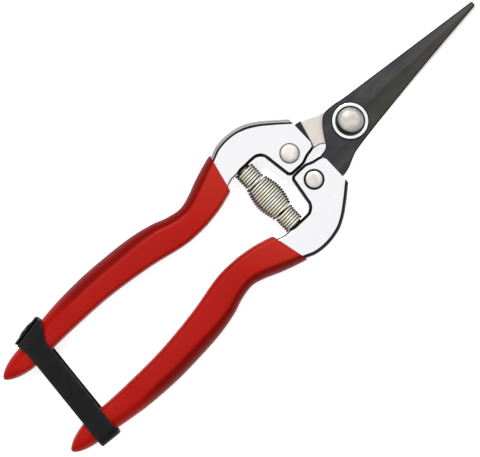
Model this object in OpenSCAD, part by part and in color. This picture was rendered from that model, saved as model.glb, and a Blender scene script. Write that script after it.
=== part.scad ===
// Floral snips: two pressed channel frames with sleeve grips, two riveted
// straight blades on one pivot, a barrel spring and a strap latch.
// X is across the handles, +Y runs to the blade tip, +Z is up from the
// surface that the snips lie on. The origin is on the pivot axis, at the
// flat tail of the pivot rivet.

/* [Blades] */
// Pivot axis to blade tip
blade_len = 53.8; // [46:0.1:60]
// Thickness of each blade at the pivot
blade_t = 2.4; // [2:0.1:3]
// Thickness of each blade at the tip
tip_t = 1.2; // [0.8:0.1:1.8]
// Width of the blunt tip
tip_w = 1.7; // [1.2:0.1:2.6]
// Spine side to the pivot axis
spine_w = 7.1; // [6.4:0.1:8]
// Cutting side to the pivot axis
edge_w = 7.5; // [6.8:0.1:8.4]
// Drop of the ground face at the cutting edge
grind_drop = 0.7; // [0.3:0.1:1]

/* [Pivot] */
// Diameter of the pivot rivet's shank
pivot_d = 6; // [5:0.1:7]
// Diameter of the pivot rivet's domed head
pivot_head_d = 8.3; // [7.6:0.1:9]
// Height of the pivot rivet's domed head
pivot_head_h = 2.1; // [1.6:0.1:2.8]
// Outer diameter of the pivot washers
pivot_washer_d = 11.4; // [10.6:0.1:12.4]
// Thickness of the pivot washers
pivot_washer_t = 0.8; // [0.6:0.05:1]

/* [Frames] */
// Thickness of the pressed sheet
sheet_t = 1.4; // [1.1:0.1:1.7]
// Pivot axis back to the nose edge
nose_back = 13.7; // [13.2:0.1:15]
// Half-width of the frames at the nose edge
nose_w = 13.8; // [13.2:0.1:14.8]
// Pivot axis back to the widest point of the bow
bow_back = 31.5; // [30:0.1:33]
// Half-width of the frames at the bow
bow_w = 23.6; // [22.6:0.1:25]
// Radius of the fold along the bow
fold_r = 1.6; // [1.2:0.1:2]
// Pivot axis back to the end of the steel legs
leg_back = 127; // [125:0.5:128.5]
// Distance of the tang rivets from the middle line
rivet_x = 5.6; // [5.2:0.1:6.2]
// Pivot axis back to the tang rivets
rivet_back = 20.9; // [20:0.1:22]
// Diameter of the tang rivets' shanks
rivet_d = 4; // [3:0.1:4.6]
// Diameter of the tang rivets' heads
rivet_head_d = 6.2; // [5.6:0.1:6.8]
// Height of the tang rivets' heads
rivet_head_h = 0.8; // [0.5:0.1:1.2]

/* [Spring] */
// Pivot axis back to the spring's axis
spring_back = 35; // [34.4:0.1:35.6]
// Length of the spring with the handles closed
spring_len = 24; // [23:0.1:25]
// Outer diameter of the spring's end coils
spring_end_d = 7; // [6.6:0.1:7.6]
// Outer diameter of the spring's middle coils
spring_mid_d = 10.2; // [9:0.1:10.4]
// Diameter of the spring wire
wire_d = 0.8; // [0.6:0.05:0.85]
// Number of coils
coils = 25; // [20:1:26]
// Length of the peg inside each spring end
peg_len = 3.4; // [2.4:0.1:4.5]

/* [Grips] */
// Pivot axis back to the middle of the grip mouths
mouth_back = 41; // [40:0.1:42.5]
// Half-width inside and outside at the mouths
mouth_in = 10.2; // [9.8:0.1:10.8]
// Outer half-width at the mouths
mouth_out = 22.15; // [21.6:0.05:22.8]
// Slant of the mouths from the inner to the outer side
mouth_slant = 3; // [1.5:0.1:4]
// Pivot axis back to the waist of the grips
waist_back = 58; // [56:0.1:60]
// Inner half-width at the waist
waist_in = 6.8; // [6.4:0.1:7.6]
// Outer half-width at the waist
waist_out = 16.6; // [16:0.1:17.6]
// Pivot axis back to the swell of the grips
swell_back = 96; // [92:0.5:98]
// Inner half-width at the swell
swell_in = 11.8; // [11.2:0.1:12.6]
// Outer half-width at the swell
swell_out = 22.2; // [21.4:0.1:23.2]
// Pivot axis back to the ends of the grips
grip_back = 135; // [133.5:0.5:138]
// Thickness of the grips over the fingers
grip_h = 11; // [10.4:0.1:11.8]
// Thickness of the grip sleeve at its sides
sleeve_t = 1.1; // [0.8:0.05:1.3]

/* [Strap] */
// Pivot axis back to the strap on the left handle
strap_back = 120.5; // [119:0.1:121.5]
// Width of the strap
strap_w = 7; // [6:0.1:8]
// Width of the strap's riveted tab
tab_w = 10.8; // [10:0.1:12]
// Distance of the tab's middle ahead of the strap's
tab_lead = 1.3; // [0:0.1:2]
// Thickness of the strap
strap_t = 1.05; // [0.8:0.05:1.3]
// Drop of the strap from the left handle to the right one
strap_drop = 2.4; // [1:0.1:3]
// Diameter of the strap rivet's cap
cap_d = 6.3; // [5.6:0.1:7]
// Diameter of the strap rivet's post
post_d = 2.6; // [2:0.1:3]

/* [Hidden] */

$fn = 48;

// Clearances
slide_gap = 0.05;   // between faces that slide or lie on each other
run_gap = 0.04;     // round a shank that a blade turns on
seat_gap = 0.02;    // round a shank that is set fast
nose_gap = 0.15;    // from each frame's nose to the middle line

// Heights, measured from the plane where the blades meet
channel_half = blade_t + 2 * slide_gap;
frame_half = channel_half + sheet_t;
grip_half = grip_h / 2;
strap_half = grip_half;
tail_half = strap_half - strap_t - slide_gap;
washer_top = blade_t + slide_gap + pivot_washer_t;
rest_drop = grip_half;

// Stations along the handles
tail_back = grip_back - 11;
seat_x = spring_len / 2;
steel_end = min(leg_back, grip_back - 8);
strap_right_back = strap_back + strap_drop;

// ---- Curves ----

function mix(a, b, f) = a + (b - a) * f;

// Index of the span of a key table that holds d
function span_of(keys, d, i = 0) =
    (i >= len(keys) - 2 || d < keys[i + 1][0]) ? i : span_of(keys, d, i + 1);

// Slope of column c of a key table at row i, from the rows beside it
function slope_at(keys, c, i) =
    let (a = max(i - 1, 0), b = min(i + 1, len(keys) - 1))
    (keys[b][c] - keys[a][c]) / (keys[b][0] - keys[a][0]);

// Column c of a key table at d, on smooth cubic spans
function smooth_at(keys, c, d) =
    let (i = span_of(keys, d),
        h = keys[i + 1][0] - keys[i][0],
        t = (d - keys[i][0]) / h)
    (2 * t * t * t - 3 * t * t + 1) * keys[i][c]
    + (t * t * t - 2 * t * t + t) * h * slope_at(keys, c, i)
    + (3 * t * t - 2 * t * t * t) * keys[i + 1][c]
    + (t * t * t - t * t) * h * slope_at(keys, c, i + 1);

// A share that rises smoothly from 0 at a to 1 at b
function ease(a, b, d) =
    let (t = min(max((d - a) / (b - a), 0), 1)) t * t * (3 - 2 * t);

// ---- Grip outline: distance back, inner and outer half-width ----

grip_keys = [
    [mouth_back - 6, mouth_in + 2.4, mouth_out + 1.2],
    [mouth_back, mouth_in, mouth_out],
    [mix(mouth_back, waist_back, 0.41), mix(mouth_in, waist_in, 0.63), mix(mouth_out, waist_out, 0.4)],
    [mix(mouth_back, waist_back, 0.77), mix(mouth_in, waist_in, 0.93), mix(mouth_out, waist_out, 0.84)],
    [waist_back, waist_in, waist_out],
    [mix(waist_back, swell_back, 0.13), mix(waist_in, swell_in, 0.02), mix(waist_out, swell_out, 0.15)],
    [mix(waist_back, swell_back, 0.26), mix(waist_in, swell_in, 0.18), mix(waist_out, swell_out, 0.46)],
    [mix(waist_back, swell_back, 0.47), mix(waist_in, swell_in, 0.52), mix(waist_out, swell_out, 0.76)],
    [mix(waist_back, swell_back, 0.74), mix(waist_in, swell_in, 0.82), mix(waist_out, swell_out, 0.93)],
    [swell_back, swell_in, swell_out],
    [mix(swell_back, tail_back, 0.43), swell_in + 0.25, swell_out - 0.5],
    [mix(swell_back, tail_back, 0.71), swell_in + 0.2, swell_out - 1.5],
    [tail_back, swell_in - 0.15, swell_out - 2.8],
];

// How far the tail has closed in at d: 1 before it, nearly 0 at its blunt end
function tail_share(d) =
    let (t = 0.985 * min(max((d - tail_back) / (grip_back - tail_back), 0), 1)) pow(1 - t * t, 0.75);
tail_mid = (swell_in + swell_out) / 2 - 1.45;

function grip_in(d) = d < tail_back ? smooth_at(grip_keys, 1, d)
    : mix(tail_mid, grip_keys[12][1], tail_share(d));
function grip_out(d) = d < tail_back ? smooth_at(grip_keys, 2, d)
    : mix(tail_mid, grip_keys[12][2], tail_share(d));

// Centre and radius of the joint between the strap's riveted end and its loop
swing_x = -(grip_in(strap_back) + grip_out(strap_back)) / 2;
swing_r = strap_w / 2 + 0.7;

// Half-thickness of the grip: full over the fingers, thinner under the strap
function grip_half_at(d) =
    mix(grip_half, tail_half, ease(swell_back + 6, strap_back - tab_w / 2 - 2, d))
    * (d < tail_back + 3 ? 1 : pow(tail_share(d), 0.55) / pow(tail_share(tail_back + 3), 0.55));

// Width and height of the bevel along the outer side of the steel
function bevel_w(d) = mix(fold_r, 3, ease(mouth_back - 2, waist_back - 4, d));
function bevel_h(d) = mix(fold_r, 2.4, ease(mouth_back - 2, waist_back - 4, d));

// ---- Frame outline, for the right-hand frame; y is negative behind the pivot ----

bow_keys = concat([
    [nose_back - 2, nose_w - 1.6],
    [nose_back, nose_w],
    [mix(nose_back, bow_back, 0.24), mix(nose_w, bow_w, 0.37)],
    [mix(nose_back, bow_back, 0.48), mix(nose_w, bow_w, 0.7)],
    [mix(nose_back, bow_back, 0.7), mix(nose_w, bow_w, 0.9)],
    [bow_back, bow_w],
    [mix(bow_back, mouth_back, 0.5), bow_w - 0.35],
    [mouth_back - 1.6, mix(bow_w, mouth_out - sleeve_t, 0.6)]],
    [for (d = [mouth_back + 3 : 4 : steel_end + 4]) [d, grip_out(d) - sleeve_t]]);

leg_steps = 28;
crown = 0.08;       // fall of the plates to their inner edges
window_top = nose_back + 13.4;
corner_r = 2.4;
nose_r = 1.8;

// Rows along a frame: inner half-width, its distance back, and the distance back of the
// point on the outer side that it faces
frame_rows = concat(
    [[2.6, nose_back, nose_back], [1.9, nose_back + 0.35, nose_back + 1.6]],
    [[1.45, nose_back + 1.1, nose_back + 3.2]],
    [[1, mix(nose_back, window_top, 0.26), mix(nose_back, bow_back, 0.27)]],
    [[nose_gap + 0.35, mix(nose_back, window_top, 0.38), mix(nose_back, bow_back, 0.36)]],
    [[nose_gap, mix(nose_back, window_top, 0.48), mix(nose_back, bow_back, 0.44)]],
    [for (i = [0:4]) let (a = 180 + 20.5 * i)
        [nose_gap + nose_r * (1 + cos(a)), window_top - 1 - nose_r * (1 + sin(a)),
            mix(nose_back, bow_back, 0.52 + 0.055 * i)]],
    [for (i = [0:4]) let (a = 97 * (1 - i / 4))
        [seat_x - corner_r * (1 - cos(a)), window_top + corner_r * (1 - sin(a)),
            mix(nose_back, bow_back, 0.8 + 0.05 * i)]],
    [[seat_x, spring_back, mix(bow_back, mouth_back, 0.36)]],
    [[seat_x, spring_back + spring_end_d / 2 - 0.2, mix(bow_back, mouth_back, 0.7)]],
    [[mix(seat_x, mouth_in + sleeve_t, 0.35), mouth_back - 0.6, mouth_back - 0.6]],
    [for (i = [1:leg_steps]) let (d = mix(mouth_back + 1.2, steel_end, i / leg_steps))
        [grip_in(d) + sleeve_t, d, d]]);

// ---- Shared shapes ----

module lifted() {
    translate([0, 0, rest_drop]) children();
}

// Skin over rings of as many points each, closed by flat ends
module loft(rings) {
    n = len(rings[0]);
    m = len(rings);
    polyhedron(
        points = [for (r = rings) each r],
        faces = concat(
            [[for (i = [0:n - 1]) i]],
            [[for (i = [n - 1:-1:0]) (m - 1) * n + i]],
            [for (k = [0:m - 2], i = [0:n - 1]) let (j = (i + 1) % n)
                each [[k * n + i, (k + 1) * n + i, k * n + j],
                    [k * n + j, (k + 1) * n + i, (k + 1) * n + j]]]),
        convexity = 8);
}

// Quarter round from the rim up to the middle of a domed head
function dome(r, h, z, steps = 8) =
    [for (i = [0:steps]) [r * cos(90 * i / steps), z + h * sin(90 * i / steps)]];

// ---- Frames ----

// Section of a frame along one row: two plates and the folded wall between them
function frame_ring(row) =
    let (d = row[2],
        slope = (smooth_at(bow_keys, 1, d + 0.05) - smooth_at(bow_keys, 1, d - 0.05)) / 0.1,
        outer = [smooth_at(bow_keys, 1, d), -d],
        inner = [row[0], -row[1]],
        along = (outer - inner) / norm(outer - inner),
        inset = along / ((along * [1, slope]) / norm([1, slope])),
        bw = bevel_w(d),
        bh = bevel_h(d),
        up = [[outer, frame_half - bh], [outer - inset * 0.134 * bw, frame_half - bh / 2],
            [outer - inset * bw / 2, frame_half - 0.134 * bh], [outer - inset * bw, frame_half],
            [inner, frame_half - crown], [inner + 0.06 * along, channel_half - crown / 2],
            [outer - inset * sheet_t, channel_half]])
    concat(
        [for (p = up) [p[0][0], p[0][1], p[1]]],
        [for (i = [6:-1:0]) [up[i][0][0], up[i][0][1], -up[i][1]]]);

module frame_body() {
    difference() {
        loft([for (row = frame_rows) frame_ring(row)]);
        tang_bore();
    }
}

module tang_bore() {
    translate([rivet_x, -rivet_back, 0])
        cylinder(h = 4 * frame_half, d = rivet_d + 2 * seat_gap, center = true);
}

// ---- Blades and their rivets ----

tip_mid = -0.35;
function spine_at(y) = -mix(spine_w, tip_w / 2 - tip_mid, y / blade_len);
function edge_at(y) = mix(edge_w - 0.2, tip_w / 2 + tip_mid, y / blade_len)
    - 0.35 * sin(180 * y / blade_len);

// The front blade with its tang, seen from the front
blade_plan = concat(
    [for (i = [0:6]) let (y = blade_len * i / 6) [spine_at(y + (i == 0 ? 3 : 0)), y + (i == 0 ? 3 : 0)]],
    [for (i = [6:-1:0]) let (y = blade_len * i / 6) [edge_at(y), y]],
    [[edge_w + 0.5, -4], [edge_w + 1, -6], [edge_w + 2.8, -10], [edge_w + 3.5, -12]],
    [[edge_w + 3.6, -nose_back + 0.3], [edge_w + 3.9, -nose_back - 3]],
    [[rivet_x + 5.2, -rivet_back - 1.2], [rivet_x + 3, -rivet_back - 4], [rivet_x - 2, -rivet_back - 4]],
    [[1.5, -rivet_back - 2.4], [0.8, -rivet_back + 0.4], [1, -nose_back - 4.4]],
    [[1.65, -nose_back - 1.2], [1.4, -nose_back + 0.2], [1.2, -12], [0.6, -11], [0, -10.5]],
    [[-2, -9.3], [-4, -8], [-6, -6.3], [-spine_w - 0.05, -4.9], [-spine_w - 0.4, -3]],
    [[-spine_w - 0.25, 0]]);

// Ground face: falls to the tip, and by roll degrees to one side of the ridge
module ground_face(roll) {
    start = pivot_washer_d / 2 + 1.2;
    fall = atan((blade_t - tip_t) / (blade_len - start));
    wide = 20;
    translate([tip_mid / 2, start, blade_t])
        rotate([-fall, 0, 0])
            rotate([0, roll, 0])
                translate([roll > 0 ? -1 : 1 - wide, 0, 0])
                    cube([wide, 2 * blade_len, wide]);
}

module blade_body() {
    difference() {
        translate([0, 0, slide_gap])
            linear_extrude(blade_t - slide_gap)
                polygon(blade_plan);
        cylinder(h = 4 * blade_t, d = pivot_d + 2 * run_gap, center = true);
        tang_bore();
        ground_face(atan(grind_drop / edge_w));
        ground_face(-atan(0.5 * grind_drop / spine_w));
    }
}

module washer_body() {
    head_r = pivot_head_d / 2;
    low = blade_t + slide_gap;
    rotate_extrude()
        polygon([[pivot_d / 2 + run_gap, low], [pivot_washer_d / 2, low],
            [pivot_washer_d / 2, washer_top - 0.15], [pivot_washer_d / 2 - 0.15, washer_top],
            [head_r + 0.55, washer_top], [head_r + 0.5, washer_top - pivot_washer_t / 2],
            [head_r - 0.3, washer_top - pivot_washer_t / 2], [head_r - 0.3, washer_top],
            [pivot_d / 2 + run_gap, washer_top]]);
}

module tang_rivet_body() {
    seat = frame_half + slide_gap;
    up = dome(rivet_head_d / 2, rivet_head_h - 0.2, seat + 0.2);
    translate([rivet_x, -rivet_back, 0])
        rotate_extrude()
            polygon(concat(
                [for (i = [len(up) - 1:-1:0]) [up[i][0], -up[i][1]]],
                [[rivet_head_d / 2, -seat], [rivet_d / 2, -seat], [rivet_d / 2, seat],
                    [rivet_head_d / 2, seat]],
                up));
}

// Packing plate that fills the channel beside a tang; in the right frame it is under it
module spacer_body() {
    translate([0, 0, -blade_t])
        linear_extrude(blade_t - slide_gap)
            difference() {
                polygon([[2, -nose_back - 0.8], [edge_w + 3.4, -nose_back - 0.8],
                    [edge_w + 3.9, -nose_back - 3], [rivet_x + 5.2, -rivet_back - 1.2],
                    [rivet_x + 3, -rivet_back - 4], [rivet_x - 2, -rivet_back - 4],
                    [1.5, -rivet_back - 2.4], [0.8, -rivet_back + 0.4], [1.1, -nose_back - 4]]);
                translate([rivet_x, -rivet_back])
                    circle(d = rivet_d + 2 * seat_gap);
            }
}

// ---- Spring and its seats ----

module seat_body() {
    deep = channel_half - slide_gap;
    peg_r = spring_end_d / 2 - wire_d - 0.35;
    translate([0, -spring_back, 0]) {
        translate([seat_x + slide_gap, -spring_end_d / 2, -deep])
            cube([6, spring_end_d, 2 * deep]);
        translate([seat_x - peg_len, 0, 0])
            rotate([0, 90, 0])
                cylinder(h = peg_len + 1, r = peg_r);
    }
}

barrel_half = 7;
turn_steps = 14;
wire_sides = 6;
function coil_r(x) = (spring_end_d - wire_d) / 2
    + (abs(x) < barrel_half ? (spring_mid_d - spring_end_d) / 2 * cos(90 * x / barrel_half) : 0);

module spring_body() {
    half = seat_x - slide_gap - wire_d / 2;
    n = coils * turn_steps;
    translate([0, -spring_back, 0])
        loft([for (i = [0:n])
            let (x = mix(-half, half, i / n), a = 360 * i / turn_steps, r = coil_r(x))
            [for (k = [0:wire_sides - 1])
                let (b = -360 * k / wire_sides, w = wire_d / 2, q = r + w * cos(b))
                [x + w * sin(b), q * cos(a), q * sin(a)]]]);
}

// ---- Grips ----

// Width of the bevel between a grip's flat face and its outer side
function crease_w(d) =
    d < waist_back ? mix(2.5, 3.2, sin(180 * (d - mouth_back) / (waist_back - mouth_back)))
    : mix(2.5, 4.1, ease(waist_back, swell_back - 6, d)) - ease(swell_back, tail_back - 10, d);
function edge_round(d) = mix(1.2, 2.4, ease(steel_end, grip_back, d));

// Ring of a grip at d from the upper half of its section, as [from the inner side, up] points
// between the inner side at a and the outer side at b
function grip_ring(d, up, side_in, side_out) =
    let (last = len(up) - 1,
        half = concat([for (i = [0:last]) [up[i][0], -up[i][1]]], [for (i = [last:-1:0]) up[i]]))
    [for (p = half) let (s = p[0] / up[last][0], e = mouth_line(d, s))
        [mix(grip_in(e) + side_in, grip_out(e) - side_out, s), -e, p[1]]];

// Distance back at share s of the width, with the slant that fades from the mouth
function mouth_line(d, s) =
    d + mouth_slant * (0.5 - s) * (1 - ease(mouth_back, mouth_back + 14, d));

function skin_ring(d) =
    let (h = grip_half_at(d),
        w = grip_out(d) - grip_in(d),
        r = min(edge_round(d), 0.4 * w, 0.6 * h),
        c = min(crease_w(d), 0.42 * w, 0.75 * h))
    grip_ring(d, [[0, h - 2.2 * r], [0.1 * r, h - r], [0.45 * r, h - 0.35 * r], [r, h],
        [w - c, h], [w - 0.45 * c, h - 0.22 * c], [w - 0.12 * c, h - 0.62 * c], [w, h - 1.15 * c]],
        0, 0);

// The hollow that the steel leg fills, a little larger all round than the leg
function hollow_ring(d) =
    let (gap = 0.08,
        top = frame_half + gap,
        bulge = 0.08,
        e = mouth_line(d, 1),
        side = grip_out(e) - smooth_at(bow_keys, 1, e) - gap,
        w = grip_out(d) - grip_in(d) - sleeve_t - side + gap + bulge,
        bw = 0.9 * bevel_w(d),
        bh = 0.9 * bevel_h(d))
    grip_ring(d, [[0, 0.4 * top], [0.02, 0.8 * top], [bulge, top], [0.4 * (w - bw), top + 0.02], [w - bw, top],
        [w - bw / 2, top - 0.134 * bh], [w - 0.134 * bw, top - 0.5 * bh], [w, top - bh]],
        sleeve_t - gap - bulge, side);

skin_steps = 26;
tail_steps = 8;
module grip_body() {
    loft(concat(
        [for (i = [leg_steps:-1:0]) hollow_ring(mix(mouth_back, steel_end + 0.1, i / leg_steps))],
        [for (i = [0:skin_steps]) skin_ring(mix(mouth_back, tail_back, i / skin_steps))],
        [for (i = [1:tail_steps]) skin_ring(mix(tail_back, grip_back, sin(90 * i / tail_steps)))]));
}

// ---- Strap ----

// Slope of a handle's outer side at the strap, in degrees
tab_back = strap_back - tab_lead;
side_slope = atan((grip_out(tab_back - 4) - grip_out(tab_back + 4)) / 8);
strap_fall = atan(strap_drop / (2 * abs(swing_x)));

// Places children with X along the rivet, outwards from the left handle's side
module at_strap_rivet() {
    translate([-grip_out(tab_back), -tab_back, 0])
        rotate([0, 0, 180 + side_slope])
            children();
}

module post_bore() {
    at_strap_rivet()
        rotate([0, 90, 0])
            cylinder(h = 14, d = post_d + 2 * seat_gap, center = true);
}

// Cross-section of a band round a handle whose outer side is at x = 0, as a tall C
module band_section(thick, long) {
    r = 3;
    in_half = strap_half - strap_t;
    difference() {
        union() {
            translate([-long, -strap_half])
                square([long + thick - r, 2 * strap_half]);
            translate([thick - r, -strap_half + r])
                square([r, 2 * (strap_half - r)]);
            for (s = [-1, 1])
                translate([thick - r, s * (strap_half - r)])
                    circle(r = r);
        }
        translate([-long - 1, -in_half])
            square([long + 1 - (r - thick / 2), 2 * in_half]);
        translate([-r, -in_half + r - thick / 2])
            square([r, 2 * (in_half - r + thick / 2)]);
        for (s = [-1, 1])
            translate([-(r - thick / 2), s * (in_half - (r - thick / 2))])
                circle(r = r - thick / 2);
    }
}

// Riveted end: a wall round the handle's outer side, and an eye on each face
module anchor_body() {
    difference() {
        union() {
            at_strap_rivet()
                difference() {
                    translate([0.1, tab_w / 2, 0])
                        rotate([90, 0, 0])
                            linear_extrude(tab_w)
                                band_section(2 * strap_t, 5);
                    translate([-20.35, -tab_w, -grip_h])
                        cube([20, 2 * tab_w, 2 * grip_h]);
                }
            for (z = [-strap_half, strap_half - strap_t])
                translate([swing_x, -strap_back, z])
                    cylinder(h = strap_t, r = swing_r);
        }
        post_bore();
    }
}

module loop_body() {
    reach = (grip_out(strap_right_back - strap_w / 2) - swing_x + 0.3) / cos(strap_fall);
    difference() {
        translate([swing_x, -strap_back, 0])
            rotate([0, 0, -strap_fall])
                translate([reach, strap_w / 2, 0])
                    rotate([90, 0, 0])
                        linear_extrude(strap_w)
                            band_section(strap_t, reach);
        translate([swing_x, -strap_back, 0])
            cylinder(h = 4 * strap_half, r = swing_r + slide_gap, center = true);
    }
}

module strap_rivet_body() {
    deep = 2 * strap_t + 0.1;
    inner = sleeve_t + sheet_t + 0.9;
    at_strap_rivet()
        rotate([0, 90, 0])
            rotate_extrude()
                polygon(concat(
                    [[0, -inner], [post_d / 2, -inner], [post_d / 2, deep + slide_gap]],
                    dome(cap_d / 2, 0.75, deep + slide_gap + 0.05, 6)));
}

// ---- Nodes ----

module front_blade() {
    color("#3f4040") lifted() blade_body();
}

module rear_blade() {
    color("#cfc8c0") lifted() rotate([0, 180, 0]) blade_body();
}

module pivot_rivet() {
    head_r = pivot_head_d / 2;
    seat = washer_top + slide_gap;
    color("#dcd6cc") lifted()
        rotate_extrude()
            polygon(concat(
                [[0, -rest_drop], [head_r - 0.3, -rest_drop], [head_r, -rest_drop + 0.3]],
                [[head_r, -seat], [pivot_d / 2, -seat], [pivot_d / 2, seat], [head_r, seat]],
                dome(head_r, pivot_head_h - 0.5, seat + 0.5)));
}

module pivot_front_washer() {
    color("#d9d6d0") lifted() washer_body();
}

module pivot_rear_washer() {
    color("#d9d6d0") lifted() rotate([0, 180, 0]) washer_body();
}

module left_frame() {
    color("#e6e6e6") lifted()
        difference() {
            mirror([1, 0, 0]) frame_body();
            post_bore();
        }
}

module right_frame() {
    color("#e6e6e6") lifted() frame_body();
}

module left_tang_spacer() {
    color("#a8a29a") lifted() rotate([0, 180, 0]) spacer_body();
}

module right_tang_spacer() {
    color("#a8a29a") lifted() spacer_body();
}

module left_tang_rivet() {
    color("#d8d1cb") lifted() mirror([1, 0, 0]) tang_rivet_body();
}

module right_tang_rivet() {
    color("#d8d1cb") lifted() tang_rivet_body();
}

module left_spring_seat() {
    color("#8f8b84") lifted() mirror([1, 0, 0]) seat_body();
}

module right_spring_seat() {
    color("#8f8b84") lifted() seat_body();
}

module spring() {
    color("#d9c98f") lifted() spring_body();
}

module left_grip() {
    color("#b01a10") lifted()
        difference() {
            mirror([1, 0, 0]) grip_body();
            post_bore();
        }
}

module right_grip() {
    color("#b01a10") lifted() grip_body();
}

module strap_anchor() {
    color("#202020") lifted() anchor_body();
}

module strap_loop() {
    color("#202020") lifted() loop_body();
}

module strap_rivet() {
    color("#cfcac2") lifted() strap_rivet_body();
}

// Washer over the strap rivet's inner end, in the left handle's channel
module strap_burr() {
    color("#cfcac2") lifted()
        at_strap_rivet()
            rotate([0, -90, 0])
                translate([0, 0, sleeve_t + sheet_t + 0.1])
                    difference() {
                        cylinder(h = 0.7, r = post_d / 2 + 1);
                        translate([0, 0, -1])
                            cylinder(h = 3, r = post_d / 2 + seat_gap);
                    }
}

front_blade();
rear_blade();
pivot_rivet();
pivot_front_washer();
pivot_rear_washer();
left_frame();
right_frame();
left_tang_spacer();
right_tang_spacer();
left_tang_rivet();
right_tang_rivet();
left_spring_seat();
right_spring_seat();
spring();
left_grip();
right_grip();
strap_anchor();
strap_loop();
strap_rivet();
strap_burr();
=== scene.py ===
"""Floral snips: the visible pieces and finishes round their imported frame.

Lengths in the functions are in millimetres. Heights are measured from the plane where
the two blades meet, which lies REST above the surface that the snips rest on.
"""

import math

import bpy
import numpy as np
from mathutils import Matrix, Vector


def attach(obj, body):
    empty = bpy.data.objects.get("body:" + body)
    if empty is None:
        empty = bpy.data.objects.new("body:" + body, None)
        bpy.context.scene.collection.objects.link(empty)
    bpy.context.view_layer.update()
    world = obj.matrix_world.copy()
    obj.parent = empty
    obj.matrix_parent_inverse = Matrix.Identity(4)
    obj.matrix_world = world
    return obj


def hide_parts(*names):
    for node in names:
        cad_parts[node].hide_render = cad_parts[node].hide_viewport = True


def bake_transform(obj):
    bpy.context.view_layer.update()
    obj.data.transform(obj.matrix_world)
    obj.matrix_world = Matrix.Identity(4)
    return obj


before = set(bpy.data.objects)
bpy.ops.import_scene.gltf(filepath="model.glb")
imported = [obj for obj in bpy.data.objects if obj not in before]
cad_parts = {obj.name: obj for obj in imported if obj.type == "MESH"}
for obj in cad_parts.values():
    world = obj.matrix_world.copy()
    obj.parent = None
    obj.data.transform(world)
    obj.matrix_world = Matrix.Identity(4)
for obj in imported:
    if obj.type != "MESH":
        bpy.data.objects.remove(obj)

bl_info = {
    "name": "Floral snips",
    "version": (1, 0, 0),
    "blender": (4, 5, 0),
    "location": "3D View > Sidebar > Snips",
    "description": "Pieces and finishes of a pair of floral snips",
    "category": "Object",
}

MM = 0.001
REST = 5.5

# Sizes in millimetres, as the frame has them. Two are the look's own: NOSE_GAP, where the frame keeps
# 0.15 between the nose and the middle, and CORNER_R, where it keeps 2.4.
BLADE_LEN, BLADE_T, TIP_T, TIP_W, TIP_MID = 53.8, 2.4, 1.2, 1.7, -0.35
SPINE_W, EDGE_W, GRIND_DROP, GRIND_START = 7.1, 7.5, 0.7, 6.9
HEAD_R, WASHER_R, SHANK_R, WASHER_TOP = 4.15, 5.7, 3.0, 3.25
CHANNEL, PLATE, SHEET_T = 2.5, 3.9, 1.4
NOSE_BACK, NOSE_W, BOW_BACK, BOW_W = 13.7, 13.8, 31.5, 23.6
NOSE_GAP, NOSE_R, WINDOW_TOP, CORNER_R = 0.05, 1.8, 27.1, 3.2
RIVET_X, RIVET_BACK, RIVET_R, RIVET_H = 5.6, 20.9, 3.1, 0.8
SPRING_BACK, SEAT_X, SPRING_END_R, SPRING_MID_R = 35.0, 12.0, 3.5, 5.1
MOUTH_BACK, MOUTH_IN, MOUTH_OUT, MOUTH_SLANT = 41.0, 10.2, 22.15, 3.0
WAIST_BACK, WAIST_IN, WAIST_OUT = 58.0, 6.8, 16.6
SWELL_BACK, SWELL_IN, SWELL_OUT = 96.0, 11.8, 22.2
TAIL_BACK, GRIP_BACK, STEEL_END, SLEEVE_T = 124.0, 135.0, 127.0, 1.1
STRAP_BACK, TAB_BACK, STRAP_DROP = 120.5, 119.2, 2.4

# Radii and lengths that only the look has, in millimetres
STEEL_LIP, PLATE_LIP, STRAP_BEND, CROWN = 0.6, 0.18, 2.4, 0.1

# Fixed colours of wear, dirt, bare spots and painted shade, as linear values
WORN_COATING, RIM_SHADE, TANG_SHADOW = (0.20, 0.19, 0.18), (0.005, 0.005, 0.005), (0.014, 0.016, 0.012)
GROUND_BLADE, EYE_RIM_SHADE = (0.87, 0.86, 0.84), (0.014, 0.014, 0.013)
PLATE_SPECK, FOLD_REFLECTION_GREY, SHADE_BLACK = (0.62, 0.63, 0.66), (0.40, 0.40, 0.41), (0.006, 0.006, 0.006)
NICK, RIVET_SHADE, CRESCENT_SHADOW = (0.50, 0.44, 0.42), (0.012, 0.011, 0.010), (0.02, 0.012, 0.008)
COIL_GAP_SHADE, COIL_FLANK_SHADE, COIL_BROWN_SHADE = (0.012, 0.009, 0.006), (0.004, 0.004, 0.004), (0.012, 0.005, 0.003)
STRAP_SCUFF, RUST, HIDDEN_STEEL = (0.045, 0.046, 0.048), (0.16, 0.09, 0.05), (0.30, 0.28, 0.26)

# Stage: the camera's right-hand direction, place and lens, and the sky's and sun's directions
CAMERA_RIGHT, CAMERA_AT, CAMERA_LENS, CAMERA_SENSOR = (0.6858, 0.7278), (0.00088, -0.0484, 0.8464), 200, 36
SKY_LEAN, SUN_FROM, SUN_ENERGY, SUN_SPREAD = (-0.16, 0.10, 1.0), (-0.42, 0.22, 0.88), 1.25, math.radians(14)
SKY_LEVELS = ((0.0, 0.20), (0.30, 0.20), (0.62, 0.50), (0.86, 1.0), (1.0, 1.0))
FLOOR_HALF, FLOOR_GLOW = 6, 0.65


# ---- Curves ----


def mix(a, b, f):
    """Straight blend from a to b."""
    return a + (b - a) * f


def ease(a, b, d):
    """Smooth rise from 0 at a to 1 at b: 3t^2 - 2t^3."""
    t = np.clip((np.asarray(d, float) - a) / (b - a), 0, 1)
    return t * t * (3 - 2 * t)


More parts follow.
